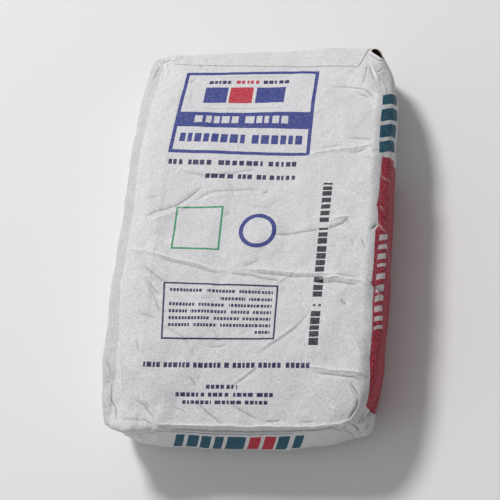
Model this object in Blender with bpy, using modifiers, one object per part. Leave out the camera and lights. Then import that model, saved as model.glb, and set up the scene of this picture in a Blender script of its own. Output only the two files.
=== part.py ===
"""A filled 25 kg block-bottom valve sack of cement, lying flat on its back.

Frame: metres, +Z up. X runs across the bag and Y along it, with the valve end at +Y. The origin is under
the middle of the bag, on the floor that it lies on.
"""
import math

import bmesh
import bpy
from mathutils import Vector

# Half sizes of the filled bag at its upper edges, and how far its faces bulge beyond them
LEFT_EDGE = 0.1759
RIGHT_EDGE = 0.1680
LEFT_BULGE = 0.0021
RIGHT_BULGE = 0.0100
END_EDGE = 0.2827
END_BULGE = 0.0102
HALF_WIDTH = (LEFT_EDGE + LEFT_BULGE + RIGHT_EDGE + RIGHT_BULGE) / 2
HALF_LENGTH = END_EDGE + END_BULGE
THICKNESS = 0.1095

# How far the foot of each face stands in from its upper edge, where the bag meets the floor
SIDE_FOOT_INSET = 0.0080
END_FOOT_INSET = 0.0180

# Papers and the clearances between them
WALL = 0.0010
PATCH_THICKNESS = 0.0008
PATCH_GAP = 0.0004
FILL_GAP = 0.0006

# Upper face: highest near the middle, and falling away towards both ends and over the left edge
CROWN_Y = -0.028
CROWN_FALL = 0.0154
CROWN_FALL_END = 0.0154
EDGE_RISE = 0.0040
LEFT_EDGE_FALL = 0.0110
LEFT_EDGE_POWER = 10

# How far each corner is drawn in, as a share of the half size, across and then along the bag: at half
# height, at the top, and the power of how suddenly it starts
CORNERS = {
    (1, 1): ((0.118, 0.112, 7), (0.000, 0.004, 5)),
    (-1, 1): ((0.020, -0.010, 12), (0.008, 0.000, 13)),
    (1, -1): ((0.050, 0.150, 8), (0.044, 0.021, 4)),
    (-1, -1): ((0.098, 0.055, 12), (0.035, 0.008, 12)),
}
CORNER_FALL = 0.06
CORNER_FALL_POWER = 10

# Grid lines over the half width, the half length and the half height
ACROSS = (0.0, 0.19, 0.38, 0.56, 0.74, 0.89, 1.0)
ALONG = (0.0, 0.14, 0.28, 0.42, 0.56, 0.69, 0.80, 0.90, 0.96, 1.0)
UP = (0.0, 0.45, 0.84, 1.0)

# Cover patches: how far they reach, on the grid lines above
PATCH_ACROSS = 0.89
PATCH_UP = 0.84
WRAP_ALONG = 0.90
WRAP_ACROSS = 0.74

# Valve sleeve, a flattened tube along X in the far right corner
VALVE_Y = 0.2705
VALVE_Z = 0.0440
VALVE_HALF_HEIGHT = 0.0250
MOUTH_HALF_GAP = 0.0060
THROAT_HALF_GAP = 0.0040
MOUTH_X = 0.1550
THROAT_X = 0.1000
MOUTH_LEAN = 0.04
SLEEVE_WALL = 0.0008
SLEEVE_GAP = 0.0009
SLEEVE_SIDES = 32
SLEEVE_RINGS = 4
CUT_OUTSIDE = 0.0400
CUT_INSIDE = 0.0100

# On the cube from -1 to 1: what counts as lying on a face, and as lying on a grid line
ON_FACE = 0.999
LINE_SLACK = 0.01

COLLECTION = "cement_bag"
WHITE_PAPER = (0.80, 0.81, 0.82)
KRAFT_PAPER = (0.42, 0.29, 0.18)
CEMENT = (0.78, 0.77, 0.74)


def clear_scene():
    for thing in list(bpy.data.objects):
        bpy.data.objects.remove(thing, do_unlink=True)


def collection(name):
    made = bpy.data.collections.new(name)
    bpy.context.scene.collection.children.link(made)
    return made


def material(name, colour, roughness):
    made = bpy.data.materials.new(name)
    made.use_nodes = True
    shader = made.node_tree.nodes["Principled BSDF"]
    shader.inputs["Base Color"].default_value = (*colour, 1.0)
    shader.inputs["Roughness"].default_value = roughness
    shader.inputs["Metallic"].default_value = 0.0
    made.diffuse_color = (*colour, 1.0)
    return made


def add_object(name, mesh_source, where, paper):
    mesh = bpy.data.meshes.new(name)
    mesh_source.to_mesh(mesh)
    mesh_source.free()
    mesh.materials.append(paper)
    made = bpy.data.objects.new(name, mesh)
    where.objects.link(made)
    return made


def top_height(x, y):
    """Height of the upper face over the floor."""
    along = (y - CROWN_Y) / HALF_LENGTH
    across = x / HALF_WIDTH
    height = THICKNESS - EDGE_RISE + EDGE_RISE * across ** 2
    height -= CROWN_FALL * along ** 2 + CROWN_FALL_END * along ** 4
    if across < 0:
        height -= LEFT_EDGE_FALL * abs(across) ** LEFT_EDGE_POWER
    return height


def half_size(edge, bulge, foot_inset, fade, w):
    """Half size at height w of a face that bulges most at half height; fade is 0 midway and 1 at its ends."""
    middle = edge + bulge * (1 - fade)
    rim = edge if w > 0 else edge - foot_inset
    return middle - (middle - rim) * w ** 2


def drawn_in(draw, place, w):
    """Share of a half size that is left at a place towards the corner, at height w."""
    middle, top, power = draw
    return 1 - (middle + (top - middle) * max(w, 0) ** 2) * abs(place) ** power


def sack_point(u, v, w):
    """Point of the filled sack for a point of the cube from -1 to 1."""
    edge, bulge = (RIGHT_EDGE, RIGHT_BULGE) if u > 0 else (LEFT_EDGE, LEFT_BULGE)
    across, along = CORNERS[(1 if u >= 0 else -1, 1 if v >= 0 else -1)]
    x = u * half_size(edge, bulge, SIDE_FOOT_INSET, v ** 4, w) * drawn_in(across, v, w)
    y = v * half_size(END_EDGE, END_BULGE, END_FOOT_INSET, u ** 2, w) * drawn_in(along, u, w)
    z = top_height(x, y) * (1 - CORNER_FALL * abs(u * v) ** CORNER_FALL_POWER) * (w + 1) / 2
    return Vector((x, y, z))


def on_grid(value, lines):
    """Moves an evenly spaced value between -1 and 1 on to the named grid lines."""
    step = abs(value) * (len(lines) - 1)
    low = min(int(step + 1e-6), len(lines) - 2)
    place = lines[low] + (step - low) * (lines[low + 1] - lines[low])
    return math.copysign(place, value)


def grid_cube():
    """A cube from -1 to 1, cut along every grid line and triangulated the same way each time."""
    cube = bmesh.new()
    bmesh.ops.create_cube(cube, size=2.0)
    for axis, lines in enumerate((ACROSS, ALONG, UP)):
        count = 2 * (len(lines) - 1)
        for i in range(1, count):
            normal = Vector((0, 0, 0))
            normal[axis] = 1.0
            place = normal * (2 * i / count - 1)
            everything = cube.verts[:] + cube.edges[:] + cube.faces[:]
            bmesh.ops.bisect_plane(cube, geom=everything, dist=1e-5, plane_co=place, plane_no=normal)
    bmesh.ops.triangulate(cube, faces=cube.faces[:], quad_method="FIXED")
    for vert in cube.verts:
        vert.co = (on_grid(vert.co.x, ACROSS), on_grid(vert.co.y, ALONG), on_grid(vert.co.z, UP))
    return cube


def sack_surface(inset=0.0, keep=None):
    """The sack's outer surface, moved in by inset, with only the cube's faces that keep accepts."""
    surface = grid_cube()
    dropped = [] if keep is None else [f for f in surface.faces if not all(keep(v.co) for v in f.verts)]
    for vert in surface.verts:
        vert.co = sack_point(*vert.co)
    surface.normal_update()
    moves = [(vert, vert.normal.copy()) for vert in surface.verts]
    for vert, normal in moves:
        vert.co -= normal * inset
    bmesh.ops.delete(surface, geom=dropped, context="FACES")
    return surface


def solidify(target, thickness, side):
    """Gives a surface its thickness: side -1 grows it inwards, and 1 outwards."""
    shell = target.modifiers.new("thickness", "SOLIDIFY")
    shell.thickness = thickness
    shell.offset = side
    shell.use_even_offset = False


def cut(target, cutter):
    hole = target.modifiers.new("cut", "BOOLEAN")
    hole.operation = "DIFFERENCE"
    hole.solver = "EXACT"
    hole.object = cutter


def sleeve_surface(grow, x_in, x_out, closed):
    """The flattened tube of the valve, wider at its mouth, whose end leans back towards the top."""
    tube = bmesh.new()
    bmesh.ops.create_cone(tube, cap_ends=closed, segments=SLEEVE_SIDES, radius1=1.0, radius2=1.0, depth=2.0)
    for i in range(1, SLEEVE_RINGS):
        everything = tube.verts[:] + tube.edges[:] + tube.faces[:]
        place = Vector((0, 0, 2 * i / SLEEVE_RINGS - 1))
        bmesh.ops.bisect_plane(tube, geom=everything, dist=1e-5, plane_co=place, plane_no=(0, 0, 1))
    for vert in tube.verts:
        x = x_in + (x_out - x_in) * (vert.co.z + 1) / 2
        out = (x - THROAT_X) / (MOUTH_X - THROAT_X)
        opening = THROAT_HALF_GAP + (MOUTH_HALF_GAP - THROAT_HALF_GAP) * out
        up = vert.co.x * (VALVE_HALF_HEIGHT + grow)
        vert.co = (x - MOUTH_LEAN * up * out, VALVE_Y - vert.co.y * (opening + grow), VALVE_Z + up)
    bmesh.ops.triangulate(tube, faces=tube.faces[:])
    return tube


def add_cutter(name, surface, where, paper):
    cutter = add_object(name, surface, where, paper)
    cutter.hide_render = True
    cutter.display_type = "WIRE"
    return cutter


def build_sack(where, cutters, white):
    """The tube of glued plies, with a slot for the valve through the wall of its far right corner."""
    sack = add_object("paper_sack", sack_surface(), where, white)
    solidify(sack, WALL, -1)
    slot = sleeve_surface(SLEEVE_WALL + SLEEVE_GAP, THROAT_X - CUT_INSIDE, MOUTH_X + CUT_OUTSIDE, True)
    cut(sack, add_cutter("valve_slot_cutter", slot, cutters, white))


def build_fill(where, cutters, white, grey):
    """The packed cement, which fills the sack and stands clear of the valve sleeve."""
    fill = add_object("cement_fill", sack_surface(WALL + FILL_GAP), where, grey)
    recess = sleeve_surface(SLEEVE_WALL + SLEEVE_GAP, THROAT_X - SLEEVE_GAP, MOUTH_X + CUT_OUTSIDE, True)
    cut(fill, add_cutter("valve_recess_cutter", recess, cutters, white))


def over_valve_end(p):
    """Whether the valve end's patch covers this point of the cube: it also wraps over the front's edge."""
    if p.z > PATCH_UP + LINE_SLACK and abs(p.x) > WRAP_ACROSS + LINE_SLACK:
        return False
    on_end = p.y > ON_FACE and abs(p.x) < PATCH_ACROSS + LINE_SLACK and p.z > -PATCH_UP - LINE_SLACK
    on_front = p.z > ON_FACE and p.y > WRAP_ALONG - LINE_SLACK
    return on_end or on_front


def over_plain_end(p):
    """Whether the plain end's patch covers this point of the cube."""
    return p.y < -ON_FACE and abs(p.x) < PATCH_ACROSS + LINE_SLACK and abs(p.z) < PATCH_UP + LINE_SLACK


def build_patches(where, white):
    """The two glued cover sheets over the folded ends."""
    for name, keep in (("valve_end_patch", over_valve_end), ("plain_end_patch", over_plain_end)):
        patch = add_object(name, sack_surface(-PATCH_GAP, keep), where, white)
        solidify(patch, PATCH_THICKNESS, 1)


def build_sleeve(where, kraft):
    """The flat kraft tube through which the bag was filled."""
    sleeve = add_object("valve_sleeve", sleeve_surface(0.0, THROAT_X, MOUTH_X, False), where, kraft)
    solidify(sleeve, SLEEVE_WALL, 1)


def main():
    clear_scene()
    bag = collection(COLLECTION)
    cutters = collection("cutters")
    white = material("white_paper", WHITE_PAPER, 0.75)
    kraft = material("kraft_paper", KRAFT_PAPER, 0.85)
    grey = material("cement", CEMENT, 0.95)
    build_sack(bag, cutters, white)
    build_fill(bag, cutters, white, grey)
    build_patches(bag, white)
    build_sleeve(bag, kraft)


main()
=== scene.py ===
"""Looks of a filled 25 kg block-bottom valve sack of cement, lying flat on its back.

Metres, +Z up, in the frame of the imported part: X runs across the bag and Y along it, with the filling
valve in the corner at +X +Y. The skin is one closed mesh, folded and creased in code. Its map "paper" is
laid out in metres, so the print on it is drawn with shader nodes at its real size.
"""
import math

import bmesh
import bpy
import numpy as np
from mathutils import Matrix, Vector, noise
from mathutils.bvhtree import BVHTree
from mathutils.geometry import delaunay_2d_cdt

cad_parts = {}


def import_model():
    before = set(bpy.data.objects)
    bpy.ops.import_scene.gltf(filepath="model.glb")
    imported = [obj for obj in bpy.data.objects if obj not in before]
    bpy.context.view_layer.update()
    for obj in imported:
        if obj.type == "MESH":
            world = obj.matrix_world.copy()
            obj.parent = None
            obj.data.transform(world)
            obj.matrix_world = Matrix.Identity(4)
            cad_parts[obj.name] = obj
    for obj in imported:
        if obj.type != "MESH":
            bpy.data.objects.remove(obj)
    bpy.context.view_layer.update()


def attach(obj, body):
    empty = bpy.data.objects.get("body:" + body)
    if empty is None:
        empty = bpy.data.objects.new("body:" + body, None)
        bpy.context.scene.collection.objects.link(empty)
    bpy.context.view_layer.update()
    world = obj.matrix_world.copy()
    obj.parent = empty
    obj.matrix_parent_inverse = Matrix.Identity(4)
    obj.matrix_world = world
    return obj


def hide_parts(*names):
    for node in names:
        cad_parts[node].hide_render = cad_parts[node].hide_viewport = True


MM = 0.001

# Form of the filled bag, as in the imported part
LEFT_EDGE = 0.1759
RIGHT_EDGE = 0.1680
LEFT_BULGE = 0.0021
RIGHT_BULGE = 0.0100
END_EDGE = 0.2827
END_BULGE = 0.0102
HALF_WIDTH = (LEFT_EDGE + LEFT_BULGE + RIGHT_EDGE + RIGHT_BULGE) / 2
HALF_LENGTH = END_EDGE + END_BULGE
THICKNESS = 0.1095
HALF_SIZES = np.array([HALF_WIDTH, HALF_LENGTH, THICKNESS / 2])
SIDE_FOOT_INSET = 0.0080
END_FOOT_INSET = 0.0180
CROWN_Y = -0.028
CROWN_FALL = 0.0154
CROWN_FALL_END = 0.0154
EDGE_RISE = 0.0040
LEFT_EDGE_FALL = 0.0110
LEFT_EDGE_POWER = 10
# How much each corner is drawn in across and along the bag: share at the foot and at the top, and power
CORNERS = {
    (1, 1): ((0.118, 0.112, 7), (0.000, 0.004, 5)),
    (-1, 1): ((0.020, -0.010, 12), (0.008, 0.000, 13)),
    (1, -1): ((0.050, 0.150, 8), (0.044, 0.021, 4)),
    (-1, -1): ((0.098, 0.055, 12), (0.035, 0.008, 12)),
}
CORNER_FALL = 0.06
CORNER_FALL_POWER = 10

# Grid of the skin: how many lines across and along, and how much closer they lie at the edges;
# the lines up are sparse low down. The faces near a crease, above a height, are then split twice.
LINES_ACROSS, LINES_ALONG = 129, 217
CLOSER = 0.28
LINES_UP = np.concatenate([np.linspace(-1, -0.40, 6)[:-1], np.linspace(-0.40, 1, 24)])
SPLIT_WITHIN = (0.0033, 0.0015)
SPLIT_ABOVE = 0.02
UNDERSIDE_STEP = 0.030

# Rounding of the folded edges, softer along the right one, and how far the right side swells
EDGE_PULL = 0.8
ROUND_REACH = 0.0062
ROUND_STEPS = 5
SHOULDER_REACH = 0.0150
SHOULDER_STEPS = 60
SIDE_SWELL = 0.0035

# How far the front's paper stands out over the near end, by x, and its rise as a share of that
LEDGE_OUT = ((-0.162, 0), (-0.150, 0.0045), (-0.140, 0.0085), (-0.132, 0.0088), (-0.115, 0.0062),
             (-0.100, 0.0030), (-0.090, 0))
LEDGE_RISE = 0.20

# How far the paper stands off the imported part's form, and how deep it may go into it
STAND_OFF = 0.0009
DEEPEST = 0.0026

# Creases are this much higher and narrower than their list says, with a share of a fixed sharp fold
CREASE_RISE = 2.1
CREASE_REACH = 0.78
CREASE_SHARP = 0.0009
SHARP_SHARE = 0.5
# Half width of the painted highlight along ridges and the painted shade along valleys
SHADE_REACH = 0.0008

# Routes are laid in stretches of this length, which wander a little, and the folds fade out
ROUTE_STEP = 0.006
ROUTE_WANDER = 0.0007
WANDER_SIZE = 0.012
WANDER_SEED = 1
END_FADE = 0.014
STEP_FADE = 0.030
STEP_END_FADE = 0.02

# Lap of the tube's glued seam, from x to x, and the step at its edges
SEAM = (-0.1600, -0.1215)
SEAM_STEP = 0.00045

# Soft bumps all over the paper, facets and streaks: height, size and seed
BUMPS = ((0.00110, 0.060, 1), (0.00048, 0.021, 5), (0.00015, 0.0075, 8))
LARGE_FACETS = (0.0042, 0.036, 4)
SMALL_FACETS = (0.0019, 0.015, 9)
CORNER_FACETS = (0.0032, 0.010, 31)
RIM_FACETS = (0.0009, 0.009, 14)
STREAKS = (0.00032, 0.0042, 17)
FAR_LEFT_CORNER = (-0.166, 0.270, 0.075)


def top_height(x, y):
    """Height of the upper face over the floor."""
    along = (y - CROWN_Y) / HALF_LENGTH
    across = x / HALF_WIDTH
    height = THICKNESS - EDGE_RISE + EDGE_RISE * across ** 2
    height = height - CROWN_FALL * along ** 2 - CROWN_FALL_END * along ** 4
    return height - LEFT_EDGE_FALL * np.maximum(-across, 0) ** LEFT_EDGE_POWER


def half_size(edge, bulge, foot_inset, fade, w):
    """Half size at height w of a face that bulges most at half height."""
    middle = edge + bulge * (1 - fade)
    rim = np.where(w > 0, edge, edge - foot_inset)
    return middle - (middle - rim) * w ** 2


def form(cube):
    """Points of the filled bag for points of the cube from -1 to 1."""
    u, v, w = np.asarray(cube, float).T
    edge = np.where(u > 0, RIGHT_EDGE, LEFT_EDGE)
    bulge = np.where(u > 0, RIGHT_BULGE, LEFT_BULGE)
    upper = np.maximum(w, 0) ** 2
    left_across = np.ones(len(u))
    left_along = np.ones(len(u))
    for (side, end), (across, along) in CORNERS.items():
        here = ((u >= 0) == (side > 0)) & ((v >= 0) == (end > 0))
        drawn = (across[0] + (across[1] - across[0]) * upper) * np.abs(v) ** across[2]
        left_across = np.where(here, 1 - drawn, left_across)
        drawn = (along[0] + (along[1] - along[0]) * upper) * np.abs(u) ** along[2]
        left_along = np.where(here, 1 - drawn, left_along)
    x = u * half_size(edge, bulge, SIDE_FOOT_INSET, v ** 4, w) * left_across
    y = v * half_size(END_EDGE, END_BULGE, END_FOOT_INSET, u ** 2, w) * left_along
    z = top_height(x, y) * (1 - CORNER_FALL * np.abs(u * v) ** CORNER_FALL_POWER) * (w + 1) / 2
    return np.stack([x, y, z], axis=1)


def cube_for(x, y, w):
    """The cube's u and v at height w that the form puts at x and y."""
    u = x / np.where(x > 0, RIGHT_EDGE, LEFT_EDGE)
    v = y / END_EDGE
    for _ in range(8):
        there = form(np.stack([u, v, w], axis=1))
        u = np.clip(u + (x - there[:, 0]) / HALF_WIDTH, -1, 1)
        v = np.clip(v + (y - there[:, 1]) / HALF_LENGTH, -1, 1)
    return u, v


# Places on the bag, given in millimetres

def front(x, y):
    """A place on the printed front."""
    x, y = x * MM, y * MM
    return Vector((x, y, float(top_height(x, y))))


def spot(x, y, z):
    """A place in space, for the folded corners."""
    return Vector((x * MM, y * MM, z * MM))


def below_edge(axis, side, along, drop):
    """A place on a long side or an end, so far below its upper edge."""
    other = 1 - axis
    edge_size, step = (END_EDGE, END_EDGE) if other else (RIGHT_EDGE if along > 0 else LEFT_EDGE, HALF_WIDTH)
    cube = np.array([side, side, 1.0])
    cube[other] = along * MM / edge_size
    for _ in range(6):
        edge = form([cube])[0]
        cube[other] += (along * MM - edge[other]) / step
    cube[2] = 1 - 2 * drop * MM / edge[2]
    return Vector(form([cube])[0])


def right(y, drop):
    return below_edge(0, 1, y, drop)


def left(y, drop):
    return below_edge(0, -1, y, drop)


def near(x, drop):
    return below_edge(1, -1, x, drop)


def far(x, drop):
    return below_edge(1, 1, x, drop)


def folds(place, rows):
    """Folds from rows of numbers: rise, reach, and the places along the route."""
    step = 3 if place is spot else 2
    return [(row[0], row[1], [place(*row[i:i + step]) for i in range(2, len(row), step)]) for row in rows]


# Creases: rise over the paper (below it where negative) and reach to each side, in millimetres, and route
CREASES = [
    *folds(front, [
        # upper right: a bright ridge and its valleys, under the printed frame
        (1.1, 3.5, 66, 88, 71, 90, 80, 94, 96, 97, 107, 98, 125, 99, 146, 102, 158, 104),
        (-0.5, 3.0, 78, 99, 96, 103, 120, 106),
        (0.7, 2.6, 122, 112, 135, 109, 148, 106, 163, 103),
        (-0.7, 2.6, 118, 114, 140, 114, 148, 113, 160, 111),
        (-0.8, 2.8, 122, 92, 128, 92, 137, 93, 143, 96, 150, 97),
        (0.7, 3.0, 134, 91, 140, 90, 150, 85, 162, 86),
        (-0.6, 3.0, 154, 94, 158, 93, 165, 96),
        (0.35, 2.4, 106, 40, 118, 33, 140, 25, 150, 20),
        (0.35, 2.4, 124, 31, 140, 22, 163, 13),
        # right middle: a tongue of paper pushed up, with a dark scarp before it
        (0.9, 5.0, 104, -9, 110, -8, 119, -5, 128, -4, 138, -8),
        (-0.9, 3.4, 98, -23, 102, -22, 112, -19, 122, -14, 128, -9, 130, -5),
        (-0.8, 4.0, 124, -8, 128, -11, 132, -15),
        (0.3, 2.0, 98, -17, 110, -14, 120, -12),
        (0.6, 9.0, 143, -6, 152, -12, 163, -20),
        (-0.8, 9.0, 30, -29, 50, -28, 75, -25, 98, -22),
        (-1.2, 2.5, 158, -25, 163, -22, 167, -17, 171, -14),
        (-0.6, 3.0, 148, -36, 152, -46, 156, -54),
        (-0.5, 3.0, 134, -36, 137, -41, 141, -47),
        (0.4, 3.5, 122, -22, 132, -27, 142, -33),
        # long ridge from the left edge to the right one, which parts around a flat facet
        (0.9, 4.5, -156, -46, -151, -48, -123, -53, -100, -60, -80, -65, -60, -70, -42, -76, -30, -79, -18,
         -80),
        (-0.6, 3.4, -118, -58, -100, -65, -80, -70, -60, -75, -42, -81, -28, -84),
        (-0.8, 3.6, -22, -83, -14, -84, 5, -85, 12, -86, 25, -90, 45, -94, 56, -96),
        (0.95, 4.0, -14, -79, -3, -76.5, 15, -77, 40, -80, 60, -83, 87, -84, 110, -85, 132, -87),
        (-0.75, 3.6, 10, -82, 40, -85, 60, -88, 87, -89, 112, -90),
        (0.6, 3.0, 38, -98, 45, -95, 60, -85, 64, -82),
        (-0.45, 3.0, -10, -76, 5, -71, 22, -63),
        (1.2, 3.2, 90, -94, 95, -93, 105, -92, 117, -90, 126, -91, 135, -94, 150, -96, 165, -101, 172,
         -104),
        (-0.6, 2.6, 118, -86, 130, -88, 150, -91),
        (-0.8, 3.4, 92, -99, 105, -98, 117, -96, 135, -100, 150, -102),
        (-0.8, 2.6, 156, -93, 160, -96, 165, -97, 172, -98),
        # right lower: pits and folds of the plateau's edge
        (-0.9, 5.0, 126, -121, 130, -125, 135, -129),
        (0.7, 5.0, 137, -166, 141, -173, 148, -180, 154, -188),
        (0.55, 5.0, 100, -103, 108, -108, 120, -116, 128, -123),
        # two straight scuffs
        (-0.45, 2.0, -4, -235, 0, -232, 28, -210, 31, -207),
        (0.35, 2.0, -1, -228, 27, -207),
        (-0.4, 2.2, 26, -193, 30, -190, 47, -178, 70, -160, 80, -148, 88, -137, 91, -131),
        (0.4, 2.2, 29, -186, 46, -174, 68, -157, 78, -145),
        # near right: folds towards the corner
        (1.0, 3.4, 86, -206, 92, -208, 105, -210, 120, -213, 147, -215, 168, -221),
        (-1.0, 4.5, 98, -216, 120, -219, 146, -222, 164, -228),
        (-0.8, 2.6, 142, -226, 144, -229, 150, -238, 156, -247),
        (0.5, 3.0, 138, -228, 141, -234, 147, -244, 151, -252),
        (0.8, 7.0, 120, -258, 128, -262, 138, -268),
        (-1.4, 1.8, 155, -247, 154, -250, 151, -258, 149, -265, 143, -274),
        (-0.8, 1.8, 157.5, -251, 154, -259, 150, -266),
        (0.9, 1.8, 154.5, -252, 152, -258, 150, -262),
        # near edge
        (1.1, 2.2, -96, -281, -50, -281.5, -4, -281, 20, -282, 45, -281, 70, -281.5, 100, -281, 134, -278,
         143, -274),
    ]),
    *folds(near, [
        (-0.9, 2.0, -80, 6, -30, 6, 20, 6, 70, 6, 110, 6, 130, 7),
    ]),
    *folds(front, [
        (-0.7, 2.4, 38, -276, 50, -276, 62, -275),
        (-0.6, 2.4, 80, -276, 92, -277, 104, -275),
        (-0.8, 7.0, -6, -256, 0, -258, 15, -266, 35, -276),
        (0.6, 5.0, 4, -268, 10, -272, 18, -279),
        (-0.4, 4.0, 15, -110, 24, -106, 33, -102),
        (-0.4, 4.0, -60, -118, -48, -118, -35, -117),
        (-0.5, 3.5, -43, -182, -30, -184, -20, -183, -12, -179),
        (-0.4, 3.0, -60, -187, -52, -196),
        (-0.4, 3.5, -40, -156, -30, -165, -20, -180),
        (-0.35, 3.5, 2, -168, 13, -160),
        (-0.6, 3.5, -61, -220, -53, -227, -46, -237),
        (-0.9, 7.0, -48, -252, -45, -255, -30, -268, -15, -279, -8, -282),
        (0.5, 5.0, -58, -250, -48, -262, -34, -275),
        (-0.5, 3.5, -80, -259, -65, -264, -56, -269),
        # near left
        (-0.7, 4.0, -127, -250, -125, -252, -113, -259, -105, -268, -101, -272, -97, -279),
        (0.6, 4.0, -121, -246, -108, -256, -99, -266),
        (-0.5, 3.0, -113, -252, -105, -264),
        (-0.7, 3.0, -115, -274, -107, -279, -98, -283),
        (-0.9, 3.4, -160, -224, -159, -232, -158, -250, -153, -258, -150, -262, -148, -274, -147, -281),
        (0.6, 3.6, -166, -236, -164, -252, -157, -268, -155, -280),
        (-0.5, 7.0, -147, -276, -130, -277, -105, -277),
        (-0.5, 3.0, -168, -203, -163, -212, -158, -224),
        (-0.35, 2.4, -170, -196, -166, -205, -161, -222),
        (0.45, 4.0, -150, -200, -146, -225, -143, -250),
        # left middle: a soft valley that climbs to the right, and folds of the seam
        (-0.4, 3.0, -140, 30, -132, 30, -125, 31),
        (-0.8, 6.0, -140, -2, -135, 2, -125, 8, -110, 14, -100, 17, -90, 25, -80, 34, -73, 41, -68, 46),
        (0.55, 6.0, -132, -8, -118, 0, -104, 6, -90, 14, -78, 24),
        (-0.55, 4.0, -78, 23, -75, 25, -62, 33, -50, 37, -35, 38.5, 0, 40, 12, 41.5),
        (0.4, 4.0, -68, 24, -55, 30, -38, 32, -10, 34),
        (-0.6, 4.0, -96, 67, -92, 67, -75, 65, -62, 61, -45, 65, -25, 67, -5, 70, 4, 71),
        (0.45, 4.0, -110, 62, -107, 65, -100, 75, -90, 72, -80, 72),
        (-0.6, 4.0, 14, 33, 18, 35, 22, 38),
        (-0.45, 3.4, -35, 57, -28, 43, -23, 26),
        (-0.4, 3.0, -35, -1, -25, 7),
        (-0.35, 3.0, -2, 12, 15, 13, 32, 13),
        # left lower: crumples below the ridge
        (-0.7, 3.6, -136, -71, -134, -72, -120, -83, -108, -92, -100, -96, -94, -98),
        (0.6, 4.0, -130, -64, -114, -74, -102, -84, -92, -88),
        (-0.6, 3.0, -128, -88, -120, -100, -110, -112, -104, -118),
        (0.5, 3.0, -134, -92, -126, -104, -117, -115),
        (-0.6, 3.0, -119, -106, -110, -125, -102, -142),
        (-0.5, 3.4, -136, -138, -120, -142, -106, -146),
        (-0.45, 3.4, -98, -154, -80, -165, -70, -171, -60, -187),
        (-0.45, 3.0, -131, -173, -128, -184, -126, -194),
        # upper right of the frame
        (0.7, 2.8, 86, 205, 90, 204, 100, 201, 115, 199, 125, 196, 138, 193),
        (-0.6, 2.6, 92, 209, 101, 206, 116, 204, 126, 201, 138, 197, 146, 189, 150, 183, 154, 177),
        (-0.6, 2.4, 128, 190, 138, 188, 146, 182),
        (0.4, 3.0, 70, 161, 80, 165, 92, 170),
        (0.4, 3.0, 93, 250, 98, 257, 104, 266),
        # far right corner, in front of the valve
        (-0.8, 3.6, 139, 251, 140, 246, 143, 232, 147, 221, 152, 208),
        (0.9, 3.4, 141, 252, 143, 243, 149, 228, 156, 210),
        (-0.6, 2.8, 149, 228, 155, 233, 161, 240),
        (0.6, 2.4, 152, 226, 158, 231, 163, 236),
        (0.6, 3.4, 160, 219, 165, 204, 170, 190),
        (-0.6, 4.0, 132, 200, 136, 215, 137, 232, 138, 249),
        # far left corner
        (1.2, 2.2, -150, 276, -142, 270, -136, 276, -128, 272),
        (-1.2, 2.0, -158, 268, -150, 271, -143, 277),
        (-1.1, 2.0, -140, 279, -133, 271, -124, 277),
        (1.0, 2.2, -166, 258, -160, 262, -156, 272, -150, 279),
        (-0.9, 2.0, -168, 246, -164, 254, -158, 258),
        (0.9, 2.0, -170, 232, -165, 242, -163, 250),
        (0.8, 2.0, -128, 279, -118, 274, -108, 279),
        (-0.45, 3.0, -110, 221, -101, 235),
        (-0.35, 3.0, -104, 210, -103, 180),
        (-0.9, 3.4, -164, 236, -163, 243, -162, 256, -161, 270),
        (0.8, 3.4, -154, 272, -151, 260, -148, 250, -145, 235),
        (-0.7, 2.8, -142, 268, -130, 267, -118, 268),
        (-1.0, 2.4, -120, 264, -110, 264, -99, 264),
        (0.7, 2.8, -98, 260, -96, 266, -92, 272),
        (-0.6, 3.0, -92, 266, -75, 269, -58, 270),
        (-0.5, 2.6, -98, 263, -98, 254, -98, 246),
    ]),
    *folds(right, [
        # long sides
        (-1.2, 2.4, -222, 62, -236, 48, -250, 36, -262, 24, -272, 12),
        (1.1, 2.4, -246, 46, -256, 36, -266, 24, -276, 14),
        (-0.6, 6.0, 150, 44, 90, 40, 40, 44, -20, 41, -80, 46, -150, 40, -205, 44),
        (0.5, 4.0, -30, 8, -52, 26, -60, 46),
        (-0.5, 4.0, -98, 4, -112, 22, -118, 44),
        (0.5, 5.0, 96, 2, 84, 22, 80, 46),
        (-0.5, 4.0, 180, 14, 168, 30, 166, 52),
    ]),
    *folds(left, [
        (-0.7, 5.0, 190, 36, 110, 42, 30, 38, -60, 44, -140, 38, -210, 42),
        (0.6, 4.0, 120, 6, 104, 28, 98, 56),
        (-0.6, 4.0, 10, 4, -12, 26, -14, 58),
        (0.5, 4.0, -120, 8, -138, 30, -142, 60),
    ]),
    *folds(right, [
        # folds across the coloured band
        (-1.0, 2.0, 24, 0.5, 16, 6, 8, 13, 3, 22),
        (0.8, 2.0, 18, 2, 10, 9, 4, 16),
        (-1.0, 2.0, 10, 0.5, 2, 8, -3, 15, -5, 24),
        (0.8, 2.0, -12, 1, -20, 8, -24, 16),
        (-1.0, 2.0, -97, 0.5, -103, 7, -106, 16, -106, 26),
        (0.8, 2.0, -108, 4, -112, 12, -112, 22),
        (-0.8, 2.0, -150, 3, -158, 12, -160, 24),
        (-0.8, 2.0, 130, 2, 122, 10, 118, 22),
        (0.8, 2.0, 60, 1, 54, 10, 54, 20),
    ]),
    *folds(spot, [
        # near right corner: folded facets
        (2.3, 3.4, 166, -244, 50, 163.9, -252.4, 58.1, 158.2, -266, 63.9, 150.9, -273.3, 55.1, 138.6,
         -278.9, 48.6),
        (-1.7, 2.4, 166, -242, 44, 164.5, -251.9, 52, 158.6, -266.6, 57.5, 152.5, -272.8, 50),
        (-1.4, 1.8, 143.7, -273.7, 86, 148.5, -273.9, 65.6, 153.5, -272.6, 43.7),
        (0.8, 4.0, 166, -240, 30, 163.9, -248.6, 31, 159.9, -265.4, 34, 154, -272.4, 40, 146, -278, 36),
        (0.9, 2.0, 159, -253, 82, 152, -267, 78, 146, -274, 76),
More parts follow.
